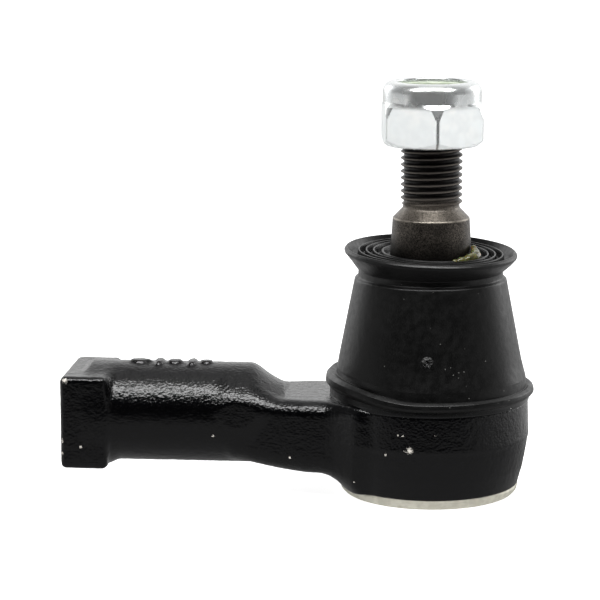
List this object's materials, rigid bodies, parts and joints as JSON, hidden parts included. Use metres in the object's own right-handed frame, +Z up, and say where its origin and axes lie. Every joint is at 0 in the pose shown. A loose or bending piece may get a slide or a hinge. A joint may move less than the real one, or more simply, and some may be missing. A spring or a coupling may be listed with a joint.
{
  "type": "tie rod end",
  "caption": "Ball joint on a forged arm with an internally threaded shank, tapered stud, rubber boot and lock nut.",
  "frame": {"origin": "centre of the ball", "axes": "+Z up the stud at rest, -X along the shank towards its threaded end, +Y to the side"},
  "size_m": [0.1076, 0.0478, 0.094],
  "materials": {
    "forging": "black paint over a rough forged skin",
    "stud_steel": "turned and phosphated, satin",
    "seat_plastic": "natural acetal",
    "spring_steel": "bare spring steel",
    "cover_steel": "pressed steel, pale zinc",
    "boot_rubber": "moulded rubber, satin",
    "insert_nylon": "nylon, slightly green white",
    "nut_zinc": "bright zinc with a blue passivation"
  },
  "bodies": {
    "socket": {"housing": "forging", "upper_seat": "seat_plastic", "lower_seat": "seat_plastic", "preload_spring": "spring_steel", "end_cover": "cover_steel", "boot_base_ring": "spring_steel"},
    "boot": {"dust_boot": "boot_rubber"},
    "neck_ring": {"boot_neck_ring": "spring_steel"},
    "stud": {"ball_stud": "stud_steel"},
    "insert": {"nut_insert": "insert_nylon"},
    "nut": {"lock_nut": "nut_zinc"}
  },
  "joints": [
    {"name": "swing", "type": "hinge", "parent": "socket", "child": "boot", "pos_m": [0, 0, 0], "axis": [0, 1, 0], "range_deg": [-15, 15], "deforming": ["dust_boot"]},
    {"name": "rock", "type": "hinge", "parent": "boot", "child": "neck_ring", "pos_m": [0, 0, 0], "axis": [1, 0, 0], "range_deg": [-15, 15]},
    {"name": "stud_spin", "type": "hinge", "parent": "neck_ring", "child": "stud", "pos_m": [0, 0, 0], "axis": [0, 0, 1], "continuous": true},
    {"name": "nut_travel", "type": "slide", "parent": "stud", "child": "insert", "axis": [0, 0, 1], "range_m": [-0.0135, 0.0105]},
    {"name": "nut_turn", "type": "hinge", "parent": "insert", "child": "nut", "pos_m": [0, 0, 0], "axis": [0, 0, 1], "range_deg": [-3240, 2400]}
  ],
  "couplings": [
    {"joint": "nut_travel", "follows": "nut_turn", "m_per_rad": 0.00023873}
  ]
}
